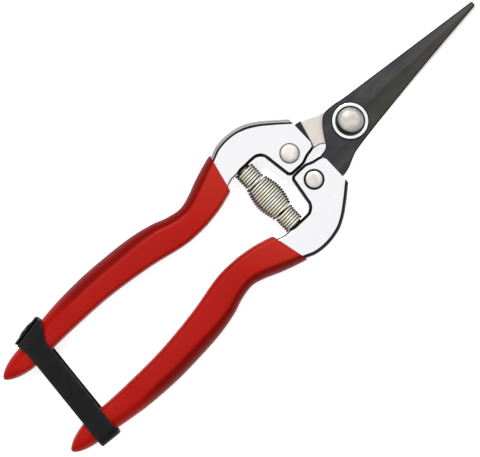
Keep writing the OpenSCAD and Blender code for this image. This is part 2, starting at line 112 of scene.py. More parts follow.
def through(stations, values, d):
    """Smooth curve through a table: cubic spans whose end slopes come from the rows beside them."""
    s, v = np.asarray(stations, float), np.asarray(values, float)
    slope = np.empty_like(v)
    slope[1:-1] = (v[2:] - v[:-2]) / (s[2:] - s[:-2])
    slope[0], slope[-1] = (v[1] - v[0]) / (s[1] - s[0]), (v[-1] - v[-2]) / (s[-1] - s[-2])
    d = np.asarray(d, float)
    i = np.clip(np.searchsorted(s, d, side="right") - 1, 0, len(s) - 2)
    h = s[i + 1] - s[i]
    t = (d - s[i]) / h
    return (
        (2 * t**3 - 3 * t**2 + 1) * v[i]
        + (t**3 - 2 * t**2 + t) * h * slope[i]
        + (3 * t**2 - 2 * t**3) * v[i + 1]
        + (t**3 - t**2) * h * slope[i + 1]
    )


def resampled(rows, finer):
    """Rows of a table with smooth rows added between them, finer times as many."""
    rows = np.asarray(rows, float)
    k = np.arange(len(rows))
    at = np.linspace(0, len(rows) - 1, (len(rows) - 1) * finer + 1)
    return np.stack([through(k, rows[:, c], at) for c in range(rows.shape[1])], 1)


def quarter(n):
    """Angles of a quarter turn in n + 1 steps."""
    return np.linspace(0, math.pi / 2, n + 1)


# ---- Making meshes ----


def placed(name, data):
    """Object that holds the data, in the scene."""
    made = bpy.data.objects.new(name, data)
    bpy.context.scene.collection.objects.link(made)
    return made


def make_piece(name, points, faces, finish, marks=None, smooth_under=38):
    """Mesh object at the origin from points in millimetres above the meeting plane.

    Faces whose signed volume is negative are all turned over, so they point outwards."""
    points = np.asarray(points, float)
    fans = np.array([(f[0], f[i], f[i + 1]) for f in faces for i in range(1, len(f) - 1)])
    a, b, c = (points[fans[:, i]] for i in range(3))
    if np.einsum("ij,ij->i", a, np.cross(b, c)).sum() < 0:
        faces = [f[::-1] for f in faces]
    mesh = bpy.data.meshes.new(name)
    mesh.from_pydata(((points + (0, 0, REST)) * MM).tolist(), [], faces)
    mesh.polygons.foreach_set("use_smooth", np.ones(len(mesh.polygons), bool))
    for mark, values in (marks or {}).items():
        attribute = mesh.attributes.new(mark, "FLOAT", "POINT")
        attribute.data.foreach_set("value", np.asarray(values, np.float32).ravel())
    mesh.materials.append(finish)
    mesh.validate()
    mesh.set_sharp_from_angle(angle=math.radians(smooth_under))
    return placed(name, mesh)


def ring_faces(rows, around, closed=False):
    """Quads of a skin over rings that close on themselves, and back to the first ring where closed."""
    k, i = np.meshgrid(np.arange(rows - (not closed)), np.arange(around), indexing="ij")
    j, following = (i + 1) % around, (k + 1) % rows
    quads = [k * around + i, k * around + j, following * around + j, following * around + i]
    return np.stack(quads, -1).reshape(-1, 4).tolist()


def skinned(name, grid, finish, marks=None, smooth_under=38):
    """Skin over a grid of rings [row, place round the ring, xyz], closed by a flat face at each end."""
    rows, around = grid.shape[:2]
    faces = ring_faces(rows, around)
    faces.append(list(range(around - 1, -1, -1)))
    faces.append([(rows - 1) * around + i for i in range(around)])
    return make_piece(name, grid.reshape(-1, 3), faces, finish, marks, smooth_under)


def turned(name, profile, centre, finish, marks, around):
    """Surface of a profile of (radius, height) turned round an upright axis, with a single point at
    each pole. A point is centre + (radius * cos a, radius * sin a, height)."""
    profile = np.asarray(profile, float)
    a = np.linspace(0, 2 * math.pi, around, endpoint=False)
    spoke = np.stack([np.cos(a), np.sin(a), 0 * a], 1)
    inner = profile[1:-1]
    up = np.array([0, 0, 1])
    rings = inner[:, None, :1] * spoke + inner[:, None, 1:] * up
    points = np.concatenate([rings.reshape(-1, 3), profile[[0, -1], 1:] * up]) + centre
    rows = len(inner)
    faces = ring_faces(rows, around)
    i = np.arange(around)
    j = (i + 1) % around
    low, high = rows * around, rows * around + 1
    faces += np.stack([np.full(around, low), j, i], 1).tolist()
    last = (rows - 1) * around
    faces += np.stack([np.full(around, high), last + i, last + j], 1).tolist()
    spread = {
        mark: np.concatenate([np.repeat(values[1:-1], around), values[[0, -1]]])
        for mark, values in marks.items()
    }
    return make_piece(name, points, faces, finish, spread)


def settle(piece, body, nodes):
    """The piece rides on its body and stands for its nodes."""
    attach(piece, body)
    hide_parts(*nodes)


# ---- Finishes ----


class Nodes:
    """A node tree in the making: adds nodes and links them to one another."""

    def __init__(self, tree):
        self.tree = tree

    def feed(self, node, inputs):
        """Links the values that are sockets, and sets the others on the inputs themselves."""
        for key, value in inputs.items():
            if isinstance(value, bpy.types.NodeSocket):
                self.tree.links.new(value, node.inputs[key])
            else:
                node.inputs[key].default_value = value

    def add(self, kind, inputs=None, **settings):
        node = self.tree.nodes.new(kind)
        for key, value in settings.items():
            setattr(node, key, value)
        self.feed(node, inputs or {})
        return node


class Finish(Nodes):
    """A material in the making, whose nodes lead to its shader."""

    def __init__(self, name):
        self.material = bpy.data.materials.new(name)
        self.material.use_nodes = True
        super().__init__(self.material.node_tree)
        self.shader = self.tree.nodes["Principled BSDF"]
        self.place = self.add("ShaderNodeTexCoord").outputs["Object"]

    def shade(self, **values):
        """Values of the shader's sockets, whose names have spaces for the underscores."""
        self.feed(self.shader, {key.replace("_", " "): value for key, value in values.items()})

    def grain(self, scale, stretch=(1, 1, 1), detail=3.0, turn=0.0):
        """Noise of about 1/scale metres, drawn out along the axes where stretch is under 1."""
        mapped = self.add(
            "ShaderNodeMapping",
            {"Vector": self.place, "Scale": stretch, "Rotation": (0, 0, turn)},
            vector_type="TEXTURE" if turn else "POINT",
        )
        if turn:
            mapped.inputs["Scale"].default_value = tuple(1 / s for s in stretch)
        return self.add(
            "ShaderNodeTexNoise",
            {"Vector": mapped.outputs["Vector"], "Scale": scale, "Detail": detail, "Roughness": 0.55},
        ).outputs["Fac"]

    def mark(self, name):
        return self.add("ShaderNodeAttribute", attribute_name=name).outputs["Fac"]

    def sum(self, kind, a, b=0.0, c=0.0, clamp=False):
        return self.add("ShaderNodeMath", {0: a, 1: b, 2: c}, operation=kind, use_clamp=clamp).outputs[0]

    def span(self, value, low, high, start=0.0, end=1.0, smooth=False):
        """Value carried from low..high to start..end, and held beyond."""
        return self.add(
            "ShaderNodeMapRange",
            {"Value": value, "From Min": low, "From Max": high, "To Min": start, "To Max": end},
            interpolation_type="SMOOTHSTEP" if smooth else "LINEAR",
        ).outputs["Result"]

    def blend(self, share, a, b):
        """Colour a blended to colour b by share."""
        a, b = (c if isinstance(c, bpy.types.NodeSocket) else (*c[:3], 1.0) for c in (a, b))
        return self.add("ShaderNodeMix", {0: share, 6: a, 7: b}, data_type="RGBA").outputs[2]

    def relief(self, *layers):
        """Bumps of (height, distance, strength) laid over one another."""
        normal = None
        for height, distance, strength in layers:
            inputs = {"Height": height, "Distance": distance, "Strength": strength}
            if normal is not None:
                inputs["Normal"] = normal
            normal = self.add("ShaderNodeBump", inputs).outputs["Normal"]
        self.tree.links.new(normal, self.shader.inputs["Normal"])

    def axes(self):
        """Distances across and along the snips."""
        parts = self.add("ShaderNodeSeparateXYZ", {"Vector": self.place})
        return parts.outputs["X"], parts.outputs["Y"]

    def away_from(self, x, y):
        """Distance in the plane from a point given in millimetres."""
        squares = []
        for part, middle in zip(self.axes(), (x, y)):
            off = self.sum("SUBTRACT", part, middle * MM)
            squares.append(self.sum("MULTIPLY", off, off))
        return self.sum("SQRT", self.sum("ADD", *squares))


def tone(colour, share):
    """The colour made lighter or darker by share."""
    return tuple(min(1.0, c * share) for c in colour[:3])


def coated_blade_finish(colours):
    """Dark satin coating: bluish on the spine side, olive on the edge side, rubbed paler at the edges, with a
    painted shade line along the rim and a painted shadow ring round the washer.
    """
    f = Finish("dark_blade_coating")
    x, y = f.axes()
    cloud = f.grain(230, (1, 0.35, 1), 4)
    streak = f.grain(900, (1, 0.05, 1), 3)
    lean = f.sum("ADD", f.sum("MULTIPLY", cloud, 0.004), x)
    ahead = f.span(y, 0.000, 0.012, 0, 1, True)
    side = f.sum("MULTIPLY", f.span(lean, 0.0006, 0.0038, 0, 1, True), ahead)
    base = f.blend(side, colours.blade_spine_side, colours.blade_edge_side)
    tipward = f.span(y, 0.030, 0.054, 0, 0.55, True)
    base = f.blend(tipward, base, tone(colours.blade_edge_side, 1.75))
    base = f.blend(f.span(cloud, 0.40, 0.66, 0.0, 0.50), base, tone(colours.blade_edge_side, 1.4))
    base = f.blend(f.span(streak, 0.58, 0.8, 0, 0.12), base, WORN_COATING)
    edge_near = f.sum("MULTIPLY", f.mark("edge_near"), f.span(f.grain(1500, detail=2), 0.42, 0.62), clamp=True)
    # painted shade: a near-black line along the blade's rim
    base = f.blend(f.span(f.mark("edge_near"), 0.20, 0.45, 0, 0.96, True), base, RIM_SHADE)
    base = f.blend(f.sum("MULTIPLY", f.sum("POWER", edge_near, 8.0), 0.3), base, WORN_COATING)
    # painted shadow: a black ring on the blade just outside the washer
    shadow_ring = f.span(f.away_from(0, 0), (WASHER_R + 0.25) * MM, (WASHER_R + 0.5) * MM, 0.9, 0, True)
    base = f.blend(shadow_ring, base, SHADE_BLACK)
    f.shade(Base_Color=base, Roughness=f.span(cloud, 0.3, 0.75, 0.36, 0.50), Metallic=0.72)
    f.relief((streak, 0.00003, 0.35), (f.grain(2600, detail=2), 0.00002, 0.25))
    return f.material


def bare_blade_finish(colours):
    """Ground steel with fine cross lines, with a painted shadow where the tang runs in under the frame
    and painted shade along the rim between the two tangs."""
    f = Finish("bare_ground_steel")
    x, y = f.axes()
    lines = f.grain(1500, (1, 0.06, 1), 3, 0.5)
    cloud = f.grain(260, detail=3)
    base = f.blend(f.span(cloud, 0.35, 0.7, 0, 0.55), colours.bare_steel, tone(colours.bare_steel, 0.86))
    base = f.blend(f.span(lines, 0.45, 0.75, 0, 0.14), base, tone(colours.bare_steel, 0.8))
    base = f.blend(f.span(y, -0.002, 0.012, 0, 0.9, True), base, GROUND_BLADE)
    # painted shadow behind a slanted line from the tang's outer corner to the nose, where the tang runs in
    # under the frame's plate; the steel there is also rougher and less metallic
    slant = f.sum("ADD", y, f.sum("MULTIPLY", f.sum("ADD", x, 0.0105), 0.264))
    tang_shade_mask = f.span(slant, -0.0116, -0.0112, 1, 0, True)
    base = f.blend(tang_shade_mask, base, TANG_SHADOW)
    # painted shade: a dark line along the rim by the eye between the two tangs
    eye_shade = f.sum("MULTIPLY", f.span(f.mark("edge_near"), 0.28, 0.42), f.span(x, -0.0032, -0.0024))
    eye_shade = f.sum("MULTIPLY", eye_shade, f.span(y, -0.008, -0.010))
    base = f.blend(eye_shade, base, EYE_RIM_SHADE)
    f.shade(
        Base_Color=base,
        Roughness=f.sum("MULTIPLY_ADD", tang_shade_mask, 0.2, f.span(lines, 0.3, 0.7, 0.30, 0.40)),
        Metallic=f.span(tang_shade_mask, 0, 1, 1, 0.5),
    )
    f.relief((lines, 0.00001, 0.15), (cloud, 0.00002, 0.06))
    return f.material


def plate_finish(name, colours, side, ring):
    """Bright nickel plate: soft waves of the pressing and grey haze, with painted reflection along the fold
    and painted shade on the cut edges and round the rivet. The ring is the width of the painted shadow round
    the rivet.

    The mark "folded" runs from 0 on the outer wall to 1 at the end of the fold."""
    f = Finish(name)
    wave = f.grain(75, detail=2)
    haze = f.grain(320, detail=4)
    speck = f.grain(2600, detail=2)
    base = f.blend(f.span(haze, 0.4, 0.72, 0, 0.5), colours.plate, tone(colours.plate, 0.93))
    base = f.blend(f.span(speck, 0.66, 0.8, 0, 0.25), base, PLATE_SPECK)
    far = f.away_from(side * RIVET_X, -RIVET_BACK)
    # painted shadow: a dark ring round the rivet's head
    shadow_ring = f.span(far, (RIVET_R + ring) * MM, (RIVET_R + ring + 0.15) * MM, 1, 0, True)
    # painted shade: dark cut edges of the plates
    rim = f.span(f.sum("MULTIPLY_ADD", haze, 0.10, f.mark("cut_edge")), 0.56, 0.62, 0, 1, True)
    folded = f.mark("folded")
    # painted reflection: a dark line along the fold
    low, high = (0.79, 1.08) if side < 0 else (0.16, 0.80)
    begins, ends = f.span(folded, low - 0.05, low, 0, 1, True), f.span(folded, high, high + 0.05, 1, 0, True)
    line = f.sum("MULTIPLY", begins, ends)
    # painted reflection: a grey band up the outer wall and round the fold
    base = f.blend(f.span(folded, 0.68, 0.76, 0.95, 0, True), base, FOLD_REFLECTION_GREY)
    # painted shade and reflection together, drawn near-black and a little rougher
    painted_dark = f.sum("MAXIMUM", f.sum("MAXIMUM", shadow_ring, rim), line)
    base = f.blend(f.sum("MULTIPLY", painted_dark, 0.994), base, SHADE_BLACK)
    f.shade(
        Base_Color=base,
        Roughness=f.sum("MULTIPLY_ADD", painted_dark, 0.3, f.span(haze, 0.3, 0.75, 0.10, 0.19)),
        Metallic=f.span(folded, 0.66, 0.76, 0.4, 1.0),
    )
    f.relief((wave, 0.0009, 0.18), (haze, 0.00006, 0.14), (speck, 0.00001, 0.25))
    return f.material


def rivet_finish(name, colour, rough, crescent=None):
    """Turned steel head: blotches, a few nicks and painted shade in its foot.

    The crescent is painted shadow beyond a distance from a centre off the head's own: (x, y, distance)."""
    f = Finish(name)
    blot = f.grain(520, detail=4)
    nick = f.grain(1700, detail=2)
    base = f.blend(f.span(blot, 0.36, 0.68, 0, 1), tone(colour, 1.06), tone(colour, 0.84))
    base = f.blend(f.span(nick, 0.62, 0.78, 0, 0.4), base, NICK)
    # painted shade, near-black, where the mark lies
    base = f.blend(f.span(f.mark("painted_shade"), 0.35, 0.65, 0, 0.96, True), base, RIVET_SHADE)
    if crescent:
        x, y, reach = crescent
        # painted shadow: a dark crescent on the side away from the light
        shadowed = f.span(f.away_from(x, y), (reach - 0.25) * MM, (reach + 0.15) * MM, 0, 0.95, True)
        base = f.blend(shadowed, base, CRESCENT_SHADOW)
    f.shade(Base_Color=base, Roughness=f.span(blot, 0.3, 0.7, rough, rough + 0.14), Metallic=1.0)
    f.relief((blot, 0.00006, 0.2), (nick, 0.00002, 0.25))
    return f.material


def spring_finish(colours):
    """Straw-coloured plated wire with drawn lines, and painted shade between the coils and down both flanks.
    """
    f = Finish("straw_plated_wire")
    stain = f.grain(300, detail=4)
    drawn = f.grain(2400, (0.3, 1, 1), 2)
    base = f.blend(f.span(stain, 0.40, 0.66, 0, 0.8), colours.spring_wire, tone(colours.plate, 0.98))
    # painted shade on the wire's inward side, leaving its outer crest bright
    base = f.blend(f.span(f.mark("inward"), 0.05, 0.34, 0, 0.99, True), base, COIL_GAP_SHADE)
    flank = f.mark("flank")
    # painted shade down both flanks of the spring, near-black on one and dark brown on the other
    base = f.blend(f.span(flank, 0.74, 0.85, 0, 0.995, True), base, COIL_FLANK_SHADE)
    base = f.blend(f.span(flank, -0.86, -0.62, 0.98, 0, True), base, COIL_BROWN_SHADE)
    f.shade(Base_Color=base, Roughness=f.span(drawn, 0.3, 0.7, 0.36, 0.46), Metallic=0.25)
    f.relief((drawn, 0.00002, 0.2))
    return f.material


def grip_finish(colours):
    """Dipped red vinyl: slight mottling, paler where it is rubbed by the mouth, painted shade on the bevel,
    fine orange peel.
    """
    f = Finish("dipped_red_vinyl")
    cloud = f.grain(120, (1, 0.5, 1), 3)
    peel = f.grain(900, detail=3)
    pore = f.grain(3200, detail=2)
    base = f.blend(f.span(cloud, 0.32, 0.7, 0, 1), colours.grip, tone(colours.grip, 0.88))
    near = f.span(f.axes()[1], -0.060, -0.040, 0, 0.75, True)
    base = f.blend(near, base, colours.grip_rubbed)
    # painted shade: deeper red on the bevel behind the crease
    base = f.blend(f.sum("MULTIPLY", f.mark("shade"), 0.92), base, colours.grip_bevel_shade)
    f.shade(Base_Color=base, Roughness=f.span(peel, 0.3, 0.7, 0.27, 0.40), Specular_IOR_Level=0.10)
    f.relief((cloud, 0.0005, 0.08), (peel, 0.00006, 0.22), (pore, 0.00002, 0.2))
    return f.material


def strap_finish(colours):
    """Black leather-like band: fine grain, scuffs along the edges, roughness that varies with the scuffs."""
    f = Finish("black_strap")
    pebble = f.add(
        "ShaderNodeTexVoronoi", {"Vector": f.place, "Scale": 1500.0}, feature="DISTANCE_TO_EDGE"
    ).outputs["Distance"]
    scuff = f.grain(420, (1, 0.4, 1), 4)
    base = f.blend(f.span(scuff, 0.4, 0.7, 0, 1), colours.strap, tone(colours.strap, 1.7))
    edge = f.sum("MULTIPLY", f.mark("edge_near"), f.span(scuff, 0.35, 0.6), clamp=True)
    base = f.blend(f.sum("MULTIPLY", edge, 0.5), base, STRAP_SCUFF)
    f.shade(Base_Color=base, Roughness=f.span(scuff, 0.3, 0.7, 0.46, 0.62), Specular_IOR_Level=0.12)
    f.relief((pebble, 0.00008, 0.25), (scuff, 0.00012, 0.2))
    return f.material


def worn_steel_finish(name, colour):
    """Plain steel of the hidden parts: mottled, with rust-brown specks."""
    f = Finish(name)
    mottle = f.grain(420, detail=4)
    speck = f.grain(1900, detail=2)
    base = f.blend(f.span(mottle, 0.35, 0.7, 0, 1), colour, tone(colour, 0.7))
    base = f.blend(f.span(speck, 0.62, 0.75, 0, 0.5), base, RUST)
    f.shade(Base_Color=base, Roughness=f.span(mottle, 0.3, 0.7, 0.32, 0.5), Metallic=1.0)
    f.relief((mottle, 0.00008, 0.25), (speck, 0.00002, 0.3))
    return f.material


# ---- Blades ----


def blade_outline(y):
    """Spine and cutting side of the front blade and its tang at distance y ahead of the pivot.

    Ahead of the pivot both sides run nearly straight to the tip, the cutting side hollowed by a
    sine; behind it each follows a smooth curve through the corners of the head and the tang."""
    spine_y = [
        -24.9, -24.3, -23.3, -20.5, -18.1, -14.9, -13.5, -12, -11,
        -10.5, -9.3, -8, -6.3, -4.9, -3, 0, 3, 8,
    ]
    spine_x = [
        3.3, 2.2, 1.5, 0.8, 1.0, 1.65, 1.45, 1.2, 0.6,
        0.0, -2.0, -4.0, -6.0, -7.15, -7.5, -7.35, -6.77, -6.19,
    ]
    edge_y = [-24.9, -23.6, -22.1, -16.7, -13.4, -12, -10, -6, -4, 0, 4]
    edge_x = [8.8, 9.9, 10.8, 11.4, 11.1, 10.9, 10.3, 8.5, 8.0, 7.3, 6.7]
    t = y / BLADE_LEN
    spine = np.where(y > 3, -mix(SPINE_W, TIP_W / 2 - TIP_MID, t), through(spine_y, spine_x, y))
    hollow = 0.35 * np.sin(np.pi * t)
    edge = np.where(y > 0, mix(EDGE_W - 0.2, TIP_W / 2 + TIP_MID, t) - hollow, through(edge_y, edge_x, y))
    return spine, edge


def blade_top(x, y):
    """Height of the outer face: level round the pivot, then two ground faces that fall to the tip and
    away from a ridge near the middle."""
    ahead = np.maximum(y - GRIND_START, 0)
    start = ease(GRIND_START - 1.5, GRIND_START + 3, y)
    off = x - TIP_MID / 2
    fall = (BLADE_T - TIP_T) / (BLADE_LEN - GRIND_START) * ahead
    roll = np.where(off > 0, GRIND_DROP / EDGE_W, 0.5 * GRIND_DROP / SPINE_W) * np.abs(off)
    return BLADE_T - fall - roll * start


def blade_grid(bevel):
    """Rings across the blade, one for each station along it: over the outer face, round the cutting
    side, back under the flat inner face and round the spine. The corners are rounded by bevel."""
    y = np.concatenate([
        np.linspace(-24.9, -12.2, 44), np.linspace(-12, -2.6, 60), np.linspace(-2.4, 12, 50),
        np.linspace(12.5, BLADE_LEN - 0.5, 110), BLADE_LEN - 0.3 * (1 - np.sin(quarter(5)[1:])),
    ])[:, None]
    spine, edge = blade_outline(y)
    # the last rows draw in, so that the tip's corners are rounded too
    draw = 0.28 * ease(BLADE_LEN - 0.35, BLADE_LEN, y) + 0.3 * ease(-24.3, -24.9, y)
    spine, edge = spine + draw, edge - draw
    wide = edge - spine
    a = quarter(6)[None, :]
    corner = 1 - np.cos(a)
    inside = np.linspace(0, 1, 30)[None, 1:-1]
    share = np.concatenate([
        bevel * corner / wide, bevel / wide + (1 - 2 * bevel / wide) * inside,
        1 - bevel * corner[:, ::-1] / wide,
    ], 1)
    x = spine + wide * share
    rounded = np.concatenate([1 - np.sin(a), np.zeros_like(inside), (1 - np.sin(a))[:, ::-1]], 1)
    high = blade_top(x, y) - bevel * rounded
    low = np.full_like(high, 0.05) + 0.12 * rounded
    ys = np.broadcast_to(y, x.shape)
    over = np.stack([x, ys, high], -1)
    under = np.stack([x, ys, low], -1)[:, ::-1]
    grid = np.concatenate([over, under], 1)
    near = np.minimum(x - spine, edge - x)
    edge_near = np.exp(-near / 0.35) * np.clip(0.75 + 0.25 * ease(5, 40, ys), 0, 1)
    return grid, np.concatenate([edge_near, edge_near[:, ::-1]], 1)


# ---- Frames and grips ----


def grip_rows():
    """Stations of a grip's outline: distance back, inner and outer half-width."""
    def between(back, inner, outer):
        return lambda f, i, o: (mix(*back, f), mix(*inner, i), mix(*outer, o))

    mouth = between((MOUTH_BACK, WAIST_BACK), (MOUTH_IN, WAIST_IN), (MOUTH_OUT, WAIST_OUT))
    waist = between((WAIST_BACK, SWELL_BACK), (WAIST_IN, SWELL_IN), (WAIST_OUT, SWELL_OUT))
    tail = lambda f, i, o: (mix(SWELL_BACK, TAIL_BACK, f), SWELL_IN + i, SWELL_OUT + o)
    return np.array([
        (MOUTH_BACK - 6, MOUTH_IN + 2.4, MOUTH_OUT + 1.2), mouth(0, 0, 0), mouth(0.41, 0.63, 0.4),
        mouth(0.77, 0.93, 0.84), mouth(1, 1, 1), waist(0.13, 0.02, 0.15), waist(0.26, 0.18, 0.46),
        waist(0.47, 0.52, 0.76), waist(0.74, 0.82, 0.93), waist(1, 1, 1), tail(0.43, 0.25, -0.5),
        tail(0.71, 0.2, -1.5), tail(1, -0.15, -2.8),
    ])


def tail_share(d):
    """How far the tail is still open at d: 1 before it, nearly 0 at its blunt end."""
    t = 0.985 * np.clip((d - TAIL_BACK) / (GRIP_BACK - TAIL_BACK), 0, 1)
    return (1 - t * t) ** 0.66


def grip_side(d, column):
    """Inner (1) or outer (2) half-width of a grip at d, closing to its middle at the tail."""
    rows = grip_rows()
    middle = (SWELL_IN + SWELL_OUT) / 2 - 1.45
    before = through(rows[:, 0], rows[:, column], np.minimum(d, TAIL_BACK))
    return np.where(d < TAIL_BACK, before, mix(middle, rows[-1, column], tail_share(d)))


def grip_half(d):
    """Half-thickness of a grip: full over the fingers, thinner under the strap, closing at the tail."""
    tail_half = REST - 1.1
    close = np.where(d < STEEL_END, 1, (tail_share(d) / tail_share(STEEL_END)) ** 0.55)
    return mix(REST, tail_half, ease(SWELL_BACK + 6, 113.1, d)) * close


def mouth_line(d, s):
    """Distance back at share s of the width: the mouth's slant, fading along the grip."""
    return d + MOUTH_SLANT * (0.5 - s) * (1 - ease(MOUTH_BACK, MOUTH_BACK + 14, d))


def grip_section(h, w, r, c):
    """Upper half of a section, from the inner side over the face to the outer side.

    A quarter ellipse rounds the inner edge, the face is slightly crowned, and behind the crease the
    bevel follows a quadratic curve down to the side."""
    crown = CROWN * np.minimum(1, h / 4)
    h = h - crown
    rise = np.minimum(2.2 * r, 0.97 * h)
    c = np.minimum(c, 0.82 * h)
    a = quarter(9)[None, :]
    t = np.linspace(0, 1, 12)[None, 1:]
    u = np.linspace(0, 1, 15)[None, 1:]
    v = np.array([[0.0, 0.4, 0.8]])
    x = np.concatenate([
        0 * h * v, r * (1 - np.cos(a)), mix(r, w - c, t),
        (1 - u) ** 2 * (w - c) + 2 * u * (1 - u) * (w - 0.16 * c) + u**2 * w, w + 0 * v[:, 1:],
    ], 1)
    z = np.concatenate([
        (h - rise) * v, h - rise * (1 - np.sin(a)), h + crown * np.sin(np.pi * t) + 0 * r,
        (1 - u) ** 2 * h + 2 * u * (1 - u) * (h - 0.42 * c) + u**2 * (h - 1.15 * c),
        (h - 1.15 * c) * (1 - v[:, 1:]),
    ], 1)
    shade = np.concatenate([0 * v, 0 * a, 0 * t, ease(0, 0.16, u), 1 + 0 * v[:, 1:]], 1) + 0 * h
    return x, z, shade


def grip_grid(side):
    """Rings along a grip, from inside the mouth round its lip and back to the tail. Inset rows are
    the section drawn in by the sleeve's thickness, and the lip turns through half a circle."""
    lip = np.linspace(0, np.pi, 13)
    inset = np.concatenate([[1.0, 1.0], 0.5 * (1 + np.cos(lip)), np.zeros(150)])
    back = np.concatenate([
        [MOUTH_BACK + 7, MOUTH_BACK + 3], MOUTH_BACK + 0.6 * (1 - np.sin(lip)),
        np.linspace(MOUTH_BACK + 0.7, TAIL_BACK, 120), mix(TAIL_BACK, GRIP_BACK, np.sin(quarter(30)[1:])),
    ])
    d, e = back[:, None], inset[:, None]
    h, w = grip_half(d), grip_side(d, 2) - grip_side(d, 1)
    r = np.minimum(np.minimum(mix(1.5, 2.6, ease(STEEL_END, GRIP_BACK, d)), 0.4 * w), 0.6 * h)
    early = mix(2.7, 3.4, np.sin(np.pi * np.clip((d - MOUTH_BACK) / (WAIST_BACK - MOUTH_BACK), 0, 1)))
    late = mix(2.7, 4.3, ease(WAIST_BACK, SWELL_BACK - 6, d)) - ease(SWELL_BACK, TAIL_BACK - 10, d)
    c = np.minimum(np.minimum(np.where(d < WAIST_BACK, early, late), 0.42 * w), 0.75 * h)
    x, z, shade = grip_section(h - 1.5 * e, w - 2 * 1.05 * e, r, c)
    x = x + 1.05 * e
    s = x / w
    back_at = mouth_line(d, s)
    across = mix(grip_side(back_at, 1), grip_side(back_at, 2), s)
    upper = np.stack([side * across, -back_at, z], -1)
    lower = np.stack([side * across, -back_at, -z], -1)[:, ::-1]
    fade = shade * (1 - ease(SWELL_BACK + 2, TAIL_BACK - 8, d))
    return np.concatenate([upper, lower[:, :-1]], 1), np.concatenate([fade, fade[:, ::-1][:, :-1]], 1)


def bow_side(d):
    """Outer half-width of a frame: the bow, and then the grip's outer side less its sleeve."""
    span = lambda f, o: (mix(NOSE_BACK, BOW_BACK, f), mix(NOSE_W, BOW_W, o))
    legs = np.arange(MOUTH_BACK + 3, STEEL_END + 4, 4.0)
    rows = np.array([
        (NOSE_BACK - 2, NOSE_W - 1.6), span(0, 0), span(0.24, 0.37), span(0.48, 0.7), span(0.7, 0.9),
        span(1, 1), (mix(BOW_BACK, MOUTH_BACK, 0.5), BOW_W - 0.35),
        (MOUTH_BACK - 1.6, mix(BOW_W, MOUTH_OUT - SLEEVE_T, 0.6)),
        *zip(legs, grip_side(legs, 2) - SLEEVE_T),
    ])
    return through(rows[:, 0], rows[:, 1], d)


def frame_rows():
    """Rows along a frame: inner half-width, its distance back, and the distance back of the point on
    the outer side that it faces. The nose and the window's corner are arcs of a circle."""
    back = lambda f: mix(NOSE_BACK, WINDOW_TOP, f)
    out = lambda f: mix(NOSE_BACK, BOW_BACK, f)
    rows = [
        (2.6, NOSE_BACK, NOSE_BACK), (1.9, NOSE_BACK + 0.35, NOSE_BACK + 1.6),
        (1.45, NOSE_BACK + 1.1, NOSE_BACK + 3.2), (1.0, back(0.26), out(0.27)),
        (NOSE_GAP + 0.35, back(0.38), out(0.36)), (NOSE_GAP, back(0.48), out(0.44)),
    ]
    a = np.radians(180 + 20.5 * np.arange(5))
    rows += list(zip(
        NOSE_GAP + NOSE_R * (1 + np.cos(a)), WINDOW_TOP - 1 - NOSE_R * (1 + np.sin(a)),
        out(0.52 + 0.055 * np.arange(5)),
    ))
    a = np.radians(97 * (1 - np.arange(5) / 4))
    rows += list(zip(
        SEAT_X - CORNER_R * (1 - np.cos(a)), WINDOW_TOP + CORNER_R * (1 - np.sin(a)),
        out(0.8 + 0.05 * np.arange(5)),
    ))
    rows += [
        (SEAT_X, SPRING_BACK, mix(BOW_BACK, MOUTH_BACK, 0.36)),
        (SEAT_X, SPRING_BACK + 3.3, mix(BOW_BACK, MOUTH_BACK, 0.7)),
        (mix(SEAT_X, MOUTH_IN + SLEEVE_T, 0.35), MOUTH_BACK - 0.6, MOUTH_BACK - 0.6),
    ]
    d = mix(MOUTH_BACK + 1.2, STEEL_END, np.arange(1, 29) / 28)
    rows += list(zip(grip_side(d, 1) + SLEEVE_T, d, d))
    return rows


def from_line(points, line):
    """Distance of each point from a line through many places: the least over its straight pieces, where
    the foot of the square to a piece is held between its ends."""
    start, run = line[:-1], np.diff(line, axis=0)
    off = points[..., None, :] - start
    share = np.clip((off * run).sum(-1) / (run**2).sum(-1), 0, 1)
    return np.sqrt(((off - share[..., None] * run) ** 2).sum(-1).min(-1))


